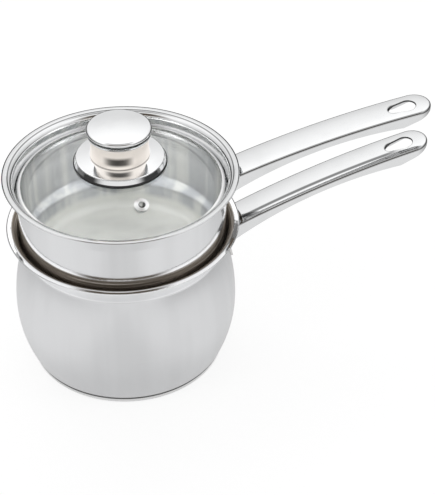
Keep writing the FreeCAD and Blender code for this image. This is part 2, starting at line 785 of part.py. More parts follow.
def lid_glass():
    """Glass dome with a rounded edge, bored for the knob's screw and for the vent."""
    bore = "screw_radius + seat_gap"
    inner_dome = "dome_radius - glass_thickness"
    edge = "glass_thickness / 2"

    def dome(reach, radius):
        return f"dome_centre + sqrt(({radius})^2 - ({reach})^2)"

    inner_edge = f"sqrt(({inner_dome})^2 - (glass_low - dome_centre)^2)"
    whole = revolved(
        "lid_glass_whole",
        (bore, dome(bore, "dome_radius"), "dome_radius", 1),
        (bore, dome(bore, inner_dome)),
        (inner_edge, "glass_low", inner_dome, -1),
        ("fold_centre", "glass_low"),
        (f"fold_centre + {edge}", "band_corner", edge, 1),
        ("fold_centre", "glass_high", edge, 1),
        ("dome_edge_radius", "glass_high"),
    )
    lift(whole, "lid_height")
    bore_tool = doc.addObject("Part::Cylinder", "vent_bore_tool")
    bore_tool.setExpression("Radius", bound("vent_tube + weld_gap"))
    bore_tool.setExpression("Height", bound("glass_thickness + 2 * cut_margin"))
    stand_on_dome(bore_tool, "dome_radius - glass_thickness - cut_margin")
    return combined("Part::Cut", "lid_glass", whole, bore_tool)


def stand_on_dome(piece, radius):
    """Stands a piece upright on a sphere about the dome's centre, at the vent's place."""
    tilt = "vent_tilt"
    places = {
        "Base.x": f"({radius}) * sin({tilt}) * cos(vent_angle)",
        "Base.y": f"({radius}) * sin({tilt}) * sin(vent_angle)",
        "Base.z": f"lid_height + dome_centre + ({radius}) * cos({tilt})",
        "Rotation.Axis.x": "-sin(vent_angle)",
        "Rotation.Axis.y": "cos(vent_angle)",
        "Rotation.Axis.z": "0",
        "Rotation.Angle": tilt,
    }
    for member, text in places.items():
        piece.setExpression(f"Placement.{member}", bound(text))


def vent_eyelet():
    """Flanged tube through the glass, curled over below."""
    foot = "-glass_thickness - vent_washer_height - 2 * weld_gap"
    curl = f"{foot} - vent_flange_height"
    body = revolved(
        "vent_eyelet",
        ("vent_bore", "vent_flange_height"),
        ("vent_bore", curl),
        ("vent_curl", curl),
        ("vent_curl", foot),
        ("vent_tube", foot),
        ("vent_tube", "weld_gap"),
        ("vent_flange", "weld_gap"),
        ("vent_bore + vent_flange_height", "vent_flange_height + weld_gap"),
    )
    stand_on_dome(body, "dome_radius")
    return body


def vent_washer():
    """Soft washer under the glass that the eyelet is curled over."""
    high = "-glass_thickness - weld_gap"
    low = f"{high} - vent_washer_height"
    bore = "vent_tube + weld_gap"
    body = revolved(
        "vent_washer",
        (bore, high),
        (bore, low),
        ("vent_washer_radius", low),
        ("vent_washer_radius", high),
    )
    stand_on_dome(body, "dome_radius")
    return body


# Knob and its fixing

def knob_gasket():
    """Black ring between the knob and the glass, following the dome and a little wider than the plate."""
    low = "dome_radius + weld_gap"

    def dome(reach):
        return f"dome_centre + sqrt(({low})^2 - ({reach})^2)"

    return revolved(
        "knob_gasket",
        ("gasket_bore", "knob_low"),
        ("gasket_bore", dome("gasket_bore")),
        ("gasket_radius", dome("gasket_radius"), low, -1),
        ("gasket_radius", "knob_low - gasket_round"),
        ("gasket_radius - gasket_round", "knob_low", "gasket_round", 1),
    )


def knob_skirt():
    """Shallow steel plate with a turned-down edge, the knob's foot."""
    top = "skirt_radius - skirt_taper"
    bore = "screw_radius + seat_gap"
    return revolved(
        "knob_skirt",
        (bore, "neck_low"),
        (bore, "neck_low - skirt_sheet"),
        ("neck_radius", "neck_low - skirt_sheet"),
        (f"{top} - skirt_sheet - skirt_edge", "skirt_high - skirt_sheet"),
        ("skirt_radius - skirt_sheet", "knob_low"),
        ("skirt_radius", "knob_low"),
        (top, "skirt_high - skirt_edge"),
        (f"{top} - skirt_edge", "skirt_high", "skirt_edge", 1),
        ("neck_radius + skirt_edge", "neck_low"),
    )


def knob_neck():
    """Waisted steel tube between the plate and the cap."""
    inner_low = "neck_radius - neck_sheet"
    inner_high = "neck_top_radius - neck_sheet"
    return revolved(
        "knob_neck",
        (inner_low, "neck_low", "neck_waist + neck_sheet", 1),
        ("neck_radius", "neck_low"),
        ("neck_top_radius", "neck_high", "neck_waist", -1),
        (inner_high, "neck_high"),
    )


def knob_cap():
    """Rounded steel cap with a nearly flat crown and a plug that fits inside the neck."""
    side = "cap_low + cap_side_height"
    shoulder = f"{side} + cap_shoulder"
    crown = f"{shoulder} + cap_crown"
    plug = "neck_top_radius - neck_sheet - seat_gap"
    inner = f"{plug} - cap_wall"
    return revolved(
        "knob_cap",
        ("0", crown, "cap_crown_radius", 1),
        ("0", f"{crown} - cap_wall"),
        (inner, side),
        (inner, "cap_low - cap_plug"),
        (plug, "cap_low - cap_plug"),
        (plug, "cap_low"),
        ("cap_skirt_radius", "cap_low"),
        ("cap_radius", side, "cap_side_bulge", 1),
        ("cap_radius - cap_shoulder", shoulder, "cap_shoulder", 1),
    )


def knob_nut():
    """Hexagon nut welded on the plate, inside the neck."""
    body = new_body("knob_nut")
    sketch = sketch_on(body, "XY_Plane", "knob_nut_plan")
    corner = "nut_width / sqrt(3)"
    outline(sketch, *[(f"{corner} * cos({turn})", f"{corner} * sin({turn})") for turn in range(30, 390, 60)])
    circle(sketch, "screw_radius + weld_gap")
    pad = body.newObject("PartDesign::Pad", "knob_nut_pad")
    pad.Profile = sketch
    pad.setExpression("Length", bound("nut_height"))
    lift(body, "lid_height + neck_low")
    return body


def knob_screw():
    """Screw from inside the lid up into the nut."""
    head_low = "screw_seat - screw_head_height"
    edge = "screw_head_height / 2"
    return revolved(
        "knob_screw",
        ("0", "neck_low + screw_grip"),
        ("0", head_low),
        (f"screw_head_radius - {edge}", head_low),
        ("screw_head_radius", f"{head_low} + {edge}", edge, 1),
        ("screw_head_radius", "screw_seat"),
        ("screw_radius", "screw_seat"),
        ("screw_radius", "neck_low + screw_grip"),
    )


def flat_ring(name, bore, radius, low, height):
    """A plain ring, such as a washer."""
    high = f"{low} + {height}"
    return revolved(name, (bore, high), (bore, low), (radius, low), (radius, high))


def lid_pieces():
    """All pieces of the lid."""
    washer_low = "screw_seat + weld_gap"
    seal_low = f"{washer_low} + washer_height"
    bore = "screw_radius + seat_gap"
    level = [
        knob_gasket(),
        knob_skirt(),
        knob_neck(),
        knob_cap(),
        knob_screw(),
        flat_ring("knob_washer", bore, "washer_radius", washer_low, "washer_height"),
        flat_ring("knob_seal", bore, "fixing_seal_radius", seal_low, "fixing_seal_height"),
    ]
    for piece in level:
        lift(piece, "lid_height")
    return [lid_rim_band(), lid_rim_seal(), lid_glass(), vent_eyelet(), vent_washer(), knob_nut()] + level


def build():
    """All nodes of the double boiler, in order from the base up."""
    lower_plate, lower_trim = lower_bracket_and_trim()
    upper_plate, upper_trim = upper_bracket_and_trim()
    return [
        lower_pan_shell(),
        base_heat_disc(),
        base_cap(),
        lower_plate,
        handle_shell("lower", lower_trim, "lower_rim_height"),
        handle_strip("lower", lower_trim, "lower_rim_height"),
        upper_pan_shell(),
        upper_plate,
        handle_shell("upper", upper_trim, "upper_rim_height"),
        handle_strip("upper", upper_trim, "upper_rim_height"),
    ] + lid_pieces()


def check(nodes):
    """Stops if any object failed or any node's shape is empty or not valid."""
    faults = [item.Name for item in doc.Objects if {"Invalid", "Error"} & set(item.State)]
    for node in nodes:
        if node.Shape.isNull() or not node.Shape.isValid() or not node.Shape.Solids:
            faults.append(node.Label)
    if faults:
        raise RuntimeError("failed: " + ", ".join(faults))


nodes = build()
doc.recompute()
check(nodes)
os.makedirs("parts", exist_ok=True)
for node in nodes:
    node.Shape.exportStep(f"parts/{node.Label}.step")
    print(node.Label, len(node.Shape.Solids), round(node.Shape.Volume, 1))
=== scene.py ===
"""Looks of the double boiler: steel, glass and rubber finishes, a white studio and the photograph's camera.

Metres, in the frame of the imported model: +Z up, origin under the middle of the base, handles towards +X.
"""
import logging
import math
from dataclasses import dataclass, field, replace
from enum import Enum
from typing import Any, Mapping, Union

import bpy
from mathutils import Matrix, Vector


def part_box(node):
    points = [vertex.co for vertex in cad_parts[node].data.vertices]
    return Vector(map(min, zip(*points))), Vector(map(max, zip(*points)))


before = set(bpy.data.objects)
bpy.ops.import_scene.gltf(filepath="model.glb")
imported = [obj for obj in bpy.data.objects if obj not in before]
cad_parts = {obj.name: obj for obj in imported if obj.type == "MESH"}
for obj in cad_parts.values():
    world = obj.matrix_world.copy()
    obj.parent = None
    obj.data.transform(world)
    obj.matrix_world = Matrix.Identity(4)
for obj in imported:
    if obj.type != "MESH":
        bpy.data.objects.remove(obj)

MM = 0.001
LOG = logging.getLogger("double_boiler")
IMAGE_WIDTH = 435
IMAGE_HEIGHT = 495
SENSOR_MM = 36.0
NOISE_MIDDLE = 0.5

# Level direction from the object to the dark side of the room.
DARK_SIDE = Vector((-0.242, -0.970, 0.0))

Colour = tuple[float, float, float]
Span = tuple[float, float]
Operand = Union["Wire", float]


class MathOp(Enum):
    """Math node operations that the finishes use."""

    ADD = "ADD"
    SUBTRACT = "SUBTRACT"
    MULTIPLY = "MULTIPLY"
    DIVIDE = "DIVIDE"
    POWER = "POWER"
    GREATER = "GREATER_THAN"
    LESS = "LESS_THAN"
    ABSOLUTE = "ABSOLUTE"
    MAXIMUM = "MAXIMUM"


class Grain(Enum):
    """Which way the fine polishing lines of a steel piece run."""

    ROUND = "round the pan's axis"
    ALONG = "along the handle"


@dataclass(frozen=True)
class Wire:
    """A node's socket that can be used in a Python expression."""

    graph: "Graph"
    socket: bpy.types.NodeSocket

    def __add__(self, other: Operand) -> "Wire":
        """This value plus another."""
        return self.graph.math(MathOp.ADD, self, other)

    __radd__ = __add__

    def __sub__(self, other: Operand) -> "Wire":
        """This value minus another."""
        return self.graph.math(MathOp.SUBTRACT, self, other)

    def __rsub__(self, other: Operand) -> "Wire":
        """Another value minus this one."""
        return self.graph.math(MathOp.SUBTRACT, other, self)

    def __mul__(self, other: Operand) -> "Wire":
        """This value times another."""
        return self.graph.math(MathOp.MULTIPLY, self, other)

    __rmul__ = __mul__

    def __truediv__(self, other: Operand) -> "Wire":
        """This value divided by another."""
        return self.graph.math(MathOp.DIVIDE, self, other)

    def __rtruediv__(self, other: Operand) -> "Wire":
        """Another value divided by this one."""
        return self.graph.math(MathOp.DIVIDE, other, self)

    def __pow__(self, other: Operand) -> "Wire":
        """This value to a power."""
        return self.graph.math(MathOp.POWER, self, other)

    def __rpow__(self, other: Operand) -> "Wire":
        """Another value to the power of this one."""
        return self.graph.math(MathOp.POWER, other, self)

    def __gt__(self, other: Operand) -> "Wire":
        """One where this value is larger, else zero."""
        return self.graph.math(MathOp.GREATER, self, other)

    def __lt__(self, other: Operand) -> "Wire":
        """One where this value is smaller, else zero: the reflected form of larger."""
        return self.graph.math(MathOp.LESS, self, other)

    def __abs__(self) -> "Wire":
        """The value without its sign."""
        return self.graph.math(MathOp.ABSOLUTE, self, 0.0)

    def __matmul__(self, other: "Wire") -> "Wire":
        """Dot product of two vectors."""
        made = self.graph.node("ShaderNodeVectorMath", {"operation": "DOT_PRODUCT"}, {0: self, 1: other})
        return self.graph.out(made, "Value")

    @property
    def is_vector(self) -> bool:
        """Whether the socket carries a vector or a colour."""
        return self.socket.type in ("VECTOR", "RGBA")


class Graph:
    """The nodes of one material, of the world or of a modifier."""

    def __init__(self, tree: bpy.types.NodeTree) -> None:
        """Empties the tree, ready for new nodes."""
        self.tree = tree
        tree.nodes.clear()

    def node(self, kind: str, settings: Mapping[str, Any] | None = None,
             inputs: Mapping[Any, Any] | None = None) -> bpy.types.Node:
        """Adds one node.

        Args:
            kind: the node's type, such as ShaderNodeBump.
            settings: its properties, set before the sockets.
            inputs: values or wires for its input sockets, by name or number.

        Returns:
            The new node.
        """
        made = self.tree.nodes.new(kind)
        for name, setting in (settings or {}).items():
            setattr(made, name, setting)
        for name, given in (inputs or {}).items():
            if isinstance(given, Wire):
                self.tree.links.new(given.socket, made.inputs[name])
            else:
                made.inputs[name].default_value = given
        return made

    def out(self, made: bpy.types.Node, name: Any = 0) -> Wire:
        """One output of a node, for use in expressions."""
        return Wire(self, made.outputs[name])

    def math(self, operation: MathOp, first: Operand, second: Operand) -> Wire:
        """Arithmetic on two values, or on vectors where one of them is a vector or a colour.

        Args:
            operation: what to do.
            first: a wire or a number.
            second: a wire or a number.

        Returns:
            The result.
        """
        kind = "ShaderNodeMath"
        ends: list[Any] = [first, second]
        if any(isinstance(end, Wire) and end.is_vector for end in ends):
            kind = "ShaderNodeVectorMath"
            ends = [end if isinstance(end, Wire) else (end, end, end) for end in ends]
        return self.out(self.node(kind, {"operation": operation.value}, dict(enumerate(ends))))

    def larger(self, first: Operand, second: Operand) -> Wire:
        """The larger of two values."""
        return self.math(MathOp.MAXIMUM, first, second)

    def unit(self, vector: Wire) -> Wire:
        """A vector brought to length one."""
        return self.out(self.node("ShaderNodeVectorMath", {"operation": "NORMALIZE"}, {0: vector}))

    def smooth(self, given: Wire, low: float, high: float) -> Wire:
        """Rises smoothly from 0 where the value is low to 1 where it is high.

        Args:
            given: the value.
            low: where the rise starts.
            high: where it ends.

        Returns:
            The risen value, from 0 to 1.
        """
        made = self.node("ShaderNodeMapRange", {"interpolation_type": "SMOOTHSTEP"},
                         {"Value": given, "From Min": low, "From Max": high})
        return self.out(made, "Result")

    def mix(self, factor: Operand, first: Any, second: Any) -> Wire:
        """A colour between two others.

        Args:
            factor: 0 for the first colour, 1 for the second.
            first: a colour or a wire that carries one.
            second: a colour or a wire that carries one.

        Returns:
            The mixed colour.
        """
        ends = [(*end, 1.0) if isinstance(end, tuple) else end for end in (first, second)]
        made = self.node("ShaderNodeMix", {"data_type": "RGBA"}, {0: factor, 6: ends[0], 7: ends[1]})
        return self.out(made, 2)

    def vector(self, x: Operand, y: Operand, z: Operand) -> Wire:
        """A vector from three values."""
        return self.out(self.node("ShaderNodeCombineXYZ", {}, {"X": x, "Y": y, "Z": z}))

    def noise(self, vector: Wire, detail: float = 2.0) -> Wire:
        """Soft noise around its middle at a scale set by the vector."""
        made = self.node("ShaderNodeTexNoise", {}, {"Vector": vector, "Scale": 1.0, "Detail": detail})
        return self.out(made, "Fac")

    def bump(self, height: Wire, depth: float, normal: Wire | None = None) -> Wire:
        """A normal bent by a height from 0 to 1.

        Args:
            height: the height map.
            depth: what a height of 1 comes to, in metres.
            normal: the normal to bend, or none for the mesh's own.

        Returns:
            The bent normal.
        """
        inputs = {"Strength": 1.0, "Distance": depth, "Height": height}
        if normal is not None:
            inputs["Normal"] = normal
        return self.out(self.node("ShaderNodeBump", {}, inputs))


class Place:
    """Where a shaded point lies on its own piece, about the pan's axis."""

    FACING_LIMIT = 0.5 * MM
    SMEAR_DETAIL = 3.0

    def __init__(self, graph: Graph) -> None:
        """Adds the coordinate nodes.

        Args:
            graph: the material's nodes.
        """
        self.graph = graph
        coordinates = graph.node("ShaderNodeTexCoord")
        parts = graph.node("ShaderNodeSeparateXYZ", {}, {0: graph.out(coordinates, "Object")})
        self.normal = graph.out(coordinates, "Normal")
        self.x, self.y, self.z = (graph.out(parts, axis) for axis in "XYZ")
        self.radius = (self.x * self.x + self.y * self.y) ** 0.5
        self.outside = (self.normal @ graph.vector(self.x, self.y, 0.0)) > self.FACING_LIMIT

    def lines(self, grain: Grain, pitch: float, length: float) -> Wire:
        """Fine polishing lines.

        Args:
            grain: which way they run.
            pitch: their width in metres.
            length: how far one line stays the same, in metres.

        Returns:
            A value around the noise's middle.
        """
        if grain is Grain.ROUND:
            across = (self.z + self.radius) / pitch
            return self.graph.noise(self.graph.vector(self.x / length, self.y / length, across))
        return self.graph.noise(self.graph.vector(self.x / length, self.y / pitch, self.z / pitch))

    def smears(self, size: float) -> Wire:
        """Broad uneven patches, as from wiping, around the noise's middle."""
        scaled = self.graph.vector(self.x / size, self.y / size, self.z / size)
        return self.graph.noise(scaled, self.SMEAR_DETAIL)

    def spots(self, along: float, across: float) -> Wire:
        """Patches that stay the same over the height, around the noise's middle."""
        return self.graph.noise(self.graph.vector(self.x / along, self.y / across, 0.0))


@dataclass(frozen=True)
class PaintedDarkLine:
    """A soft dark line painted round the pan's axis: painted shade and painted reflections of dark things on
    polished pieces.
    """

    height: float
    half_width: float
    shade: float
    facing: Vector | None = None
    turn: Span = (0.82, 1.0)
    core_share: float = 1 / 3

    def above(self, foot: float) -> "PaintedDarkLine":
        """The same line with its height counted from a foot."""
        return replace(self, height=foot + self.height)

    def strength(self, graph: Graph, place: Place) -> Wire:
        """How dark a point is.

        Args:
            graph: the material's nodes.
            place: the shaded point.

        Returns:
            From 0 to the line's shade, and only on the side that it faces, where it has one.
        """
        apart = abs(place.z - self.height)
        line = self.shade * (1 - graph.smooth(apart, self.core_share * self.half_width, self.half_width))
        if self.facing is None:
            return line
        return line * graph.smooth(place.normal @ graph.vector(*self.facing), *self.turn)


def shade_of(lines: tuple[PaintedDarkLine, ...], graph: Graph, place: Place) -> Operand:
    """Painted shade of all the lines together, or zero without lines."""
    return sum(line.strength(graph, place) for line in lines)


def dimmed(colour: Colour, share: float) -> Colour:
    """A colour at a share of its brightness."""
    red, green, blue = colour
    return share * red, share * green, share * blue


@dataclass(frozen=True)
class Finish:
    """A finish for one or more pieces."""

    name: str

    def start(self) -> tuple[Graph, bpy.types.Material]:
        """Starts the material.

        Returns:
            Its empty nodes, and the material with this finish's name.
        """
        material = bpy.data.materials.new(self.name)
        material.use_nodes = True
        return Graph(material.node_tree), material

    @staticmethod
    def close(graph: Graph, inputs: Mapping[str, Any]) -> None:
        """Ends a material in one surface shader with these values or wires on its sockets."""
        shader = graph.node("ShaderNodeBsdfPrincipled", {}, inputs)
        graph.node("ShaderNodeOutputMaterial", {}, {"Surface": graph.out(shader)})

    def material(self) -> bpy.types.Material:
        """The finished material."""
        raise NotImplementedError


@dataclass(frozen=True)
class PolishedSteel(Finish):
    """Steel polished to a mirror, with faint lines, wiped patches and any painted dark lines of shade and
    reflection.
    """

    colour: Colour = (0.78, 0.77, 0.76)
    dull_share: float = 0.96
    dull_limits: Span = (0.45, 0.75)
    metallic: float = 1.0
    roughness: float = 0.07
    smear: float = 0.05
    smear_size: float = 18 * MM
    smear_limits: Span = (0.4, 0.8)
    grain: Grain = Grain.ROUND
    line_pitch: float = 0.7 * MM
    line_length: float = 40 * MM
    line_depth: float = 1.5e-6
    painted_dark_lines: tuple[PaintedDarkLine, ...] = ()
    thrown_light: float = 0.0

    def material(self) -> bpy.types.Material:
        """Builds the material.

        Returns:
            The finished material.
        """
        graph, material = self.start()
        place = Place(graph)
        lines = place.lines(self.grain, self.line_pitch, self.line_length)
        smears = place.smears(self.smear_size)
        dull = dimmed(self.colour, self.dull_share)
        normal, shade = self.shape(graph, place)
        # The colour is darkened by the painted shade and reflections of the piece's dark lines.
        steel = graph.mix(graph.smooth(smears, *self.dull_limits), self.colour, dull) * (1 - shade)
        sockets = {
            "Base Color": steel,
            "Metallic": self.metallic,
            "Roughness": self.roughness + self.smear * graph.smooth(smears, *self.smear_limits),
            "Normal": graph.bump(lines, self.line_depth, normal),
        }
        # Stands in for light that a mirror beside the piece throws on it.
        if self.thrown_light:
            sockets |= {"Emission Color": steel, "Emission Strength": self.thrown_light}
        self.close(graph, sockets)
        return material

    def shape(self, graph: Graph, place: Place) -> tuple[Wire | None, Operand]:
        """A normal worked out from the piece's shape, or none for the mesh's own, and how much painted shade
        it gets.
        """
        return None, shade_of(self.painted_dark_lines, graph, place)


@dataclass(frozen=True)
class CrownPlace:
    """Where a point lies on a handle's top pressing."""

    crown: Wire
    side: Wire
    above: Wire
    sideways: Wire
    beyond: Wire


@dataclass(frozen=True)
class HandleForm:
    """Sizes of a handle's top pressing: an arc along its crown, a round end and a rounded edge."""

    root: Vector
    tip: Vector
    arc_radius: float = 760 * MM
    half_width: float = 13.4 * MM
    edge: float = 2 * MM
    edge_cuts: int = 2
    edge_start: float = 0.3
    edge_least: float = 0.1

    def arc_centre(self) -> Vector:
        """Finds the centre of the arc along the handle's top.

        Returns:
            The centre, below the handle.
        """
        chord = self.tip - self.root
        depth = math.sqrt(self.arc_radius ** 2 - chord.length_squared / 4)
        return (self.root + self.tip) / 2 + depth * Vector((chord.z, 0.0, -chord.x)).normalized()

    def place(self, graph: Graph, x: Wire, y: Wire, z: Wire) -> CrownPlace:
        """Where a point lies.

        Args:
            graph: the nodes to add to.
            x: the point's place along the handle.
            y: its place across the handle.
            z: its height.

        Returns:
            Directions off the crown and off the side, and how far into the rounded edge the point is.
        """
        centre = self.arc_centre()
        run, rise = x - centre.x, z - centre.z
        spread = (run * run + rise * rise) ** 0.5
        ahead = graph.larger(x - (self.tip.x - self.half_width), 0.0)
        sideways = (ahead * ahead + y * y) ** 0.5
        return CrownPlace(
            crown=graph.vector(run, 0.0, rise) / spread,
            side=graph.vector(ahead, y, 0.0) / sideways,
            above=graph.larger(spread - (self.arc_radius - self.edge), 0.0),
            sideways=sideways,
            beyond=graph.larger(sideways - (self.half_width - self.edge), 0.0),
        )

    def round_edge(self, node: str) -> None:
        """Gives a handle a modifier that brings its edge's flat triangles onto the true rounding.

        Args:
            node: name of the CAD node.
        """
        tree = bpy.data.node_groups.new(f"{node}_edge", "GeometryNodeTree")
        graph = Graph(tree)
        for way in ("INPUT", "OUTPUT"):
            tree.interface.new_socket(name="Geometry", in_out=way, socket_type="NodeSocketGeometry")
        given = graph.out(graph.node("NodeGroupInput"))
        position = graph.out(graph.node("GeometryNodeInputPosition"))
        parts = graph.node("ShaderNodeSeparateXYZ", {}, {0: position})
        spot = self.place(graph, *(graph.out(parts, axis) for axis in "XYZ"))
        normal = graph.out(graph.node("GeometryNodeInputNormal"))
        outward = spot.crown * spot.above + spot.side * spot.beyond
        radius = (spot.above * spot.above + spot.beyond * spot.beyond) ** 0.5
        on_edge = (radius > self.edge_start * self.edge) * ((outward @ normal) > 0.0)
        on_edge = on_edge * (spot.above > 0.0) * (spot.beyond > 0.0)
        halves = graph.node("GeometryNodeSeparateGeometry", {"domain": "FACE"},
                            {"Geometry": given, "Selection": on_edge})
        fine = graph.node("GeometryNodeSubdivideMesh", {},
                          {"Mesh": graph.out(halves), "Level": self.edge_cuts})
        stretch = self.edge / graph.larger(radius, self.edge_least * self.edge) - 1
        moved = graph.node("GeometryNodeSetPosition", {},
                           {"Geometry": graph.out(fine), "Offset": outward * (stretch * on_edge)})
        joined = graph.node("GeometryNodeJoinGeometry")
        for half in (graph.out(moved), graph.out(halves, 1)):
            tree.links.new(half.socket, joined.inputs[0])
        graph.node("NodeGroupOutput", {}, {0: graph.out(joined)})
        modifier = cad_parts[node].modifiers.new("rounded_edge", "NODES")
        modifier.node_group = tree


@dataclass(frozen=True)
class HandleSteel(PolishedSteel):
    """Polished steel for a handle's top pressing, with the exact normal of its rounded edge.

    The mesh's long thin triangles carry uneven normals there, so the handle's own sizes give the normal.
    The top also leans a little towards its edges, as a pressed sheet does. Its colour carries painted shade
    along the edges and round the hanging eye, and may carry a painted reflection of the other handle.
    """

    form: HandleForm | None = None
    edge_zone: float = 3 * MM
    crown_tilt: float = 0.10
    shoulder_tilt: float = 0.12
    shoulder_power: float = 4.0
    least_likeness: float = 0.05
    same_face: float = 0.96
    edge_painted_shade: float = 0.6
    line_start: Span = (0.35, 0.55)
    line_stop: Span = (0.85, 0.97)
    eye_painted_shade: float = 0.85
    eye_likeness: Span = (0.85, 0.93)
    eye_end: float = 26.8 * MM
    eye_radius: float = 4.3 * MM
    halo_width: float = 2.2 * MM
    halo_reach: Span = (-3 * MM, 3 * MM)
    halo_painted_shade: float = 0.8
    streak_side: float = -6.8 * MM
    streak_width: float = 2.3 * MM
    streak_core: float = 1 / 3
    streak_end: Span = (34 * MM, 18 * MM)
    painted_streak_shade: float = 0.0

    def shape(self, graph: Graph, place: Place) -> tuple[Wire | None, Operand]:
        """The rounded edge's own normal near the outline, the mesh's elsewhere, with painted shade at the
        edges and the eye and any painted reflection streak.

        Args:
            graph: the material's nodes.
            place: the shaded point.

        Returns:
            The normal, in the world's axes, and the share of painted shade.
        """
        form = self.form
        spot = form.place(graph, place.x, place.y, place.z)
        reach = spot.sideways / form.half_width
        lean = self.crown_tilt * reach + self.shoulder_tilt * reach ** self.shoulder_power
        ideal = graph.unit(spot.crown * spot.above + spot.side * (spot.beyond + form.edge * lean))
        near = spot.sideways > form.half_width - form.edge - self.edge_zone
        likeness = ideal @ place.normal
        top_face = likeness > self.same_face
        chosen = graph.larger(near * (likeness > self.least_likeness), top_face)
        normal = place.normal + (ideal - place.normal) * chosen
        axes = {"vector_type": "NORMAL", "convert_from": "OBJECT", "convert_to": "WORLD"}
        turned = graph.node("ShaderNodeVectorTransform", axes, {0: normal})
        # Painted shade: a dark line along the edge's bend, the eye's bore and a ring round its inner end; the
        # streak is a painted reflection.
        bend = spot.beyond / form.edge
        line = graph.smooth(bend, *self.line_start) * (1 - graph.smooth(bend, *self.line_stop))
        eye = (1 - near) * (1 - graph.smooth(likeness, *self.eye_likeness))
        eye = eye * (spot.above > 0.0) * (place.x > form.tip.x / 2)
        shade = graph.larger(self.halo_painted_shade * self._halo(graph, place), self.eye_painted_shade * eye)
        shade = shade + self.edge_painted_shade * line
        if self.painted_streak_shade:
            shade = shade + self.painted_streak_shade * self._streak(graph, place) * top_face
        return graph.out(turned), shade

    def _halo(self, graph: Graph, place: Place) -> Wire:
        """Painted shade round the inner end of the hanging eye, where the pressing is drawn in.

        Args:
            graph: the material's nodes.
            place: the shaded point.

        Returns:
            One at the eye's end, zero away from it.
        """
        beside = place.x - (self.form.tip.x - self.eye_end)
        from_end = (beside * beside + place.y * place.y) ** 0.5 - self.eye_radius
        ring = 1 - graph.smooth(from_end, 0.0, self.halo_width)
        return ring * (1 - graph.smooth(beside, *self.halo_reach))

    def _streak(self, graph: Graph, place: Place) -> Wire:
        """A painted reflection of the other handle, along this one.

        Args:
            graph: the material's nodes.
            place: the shaded point.

        Returns:
            One in the middle of the streak, zero away from it.
        """
        apart = abs(place.y - self.streak_side)
        streak = 1 - graph.smooth(apart, self.streak_core * self.streak_width, self.streak_width)
        start, stop = (self.form.tip.x - setback for setback in self.streak_end)
        return streak * (1 - graph.smooth(place.x, start, stop))


@dataclass(frozen=True)
class PanZones:
    """Zones of a drawn pan, each from 0 outside to 1 inside."""

    flare: Wire
    mouth: Wire
    inside: Wire
    throat: Wire
    bead: Wire
    edge: Wire
    rise: Wire


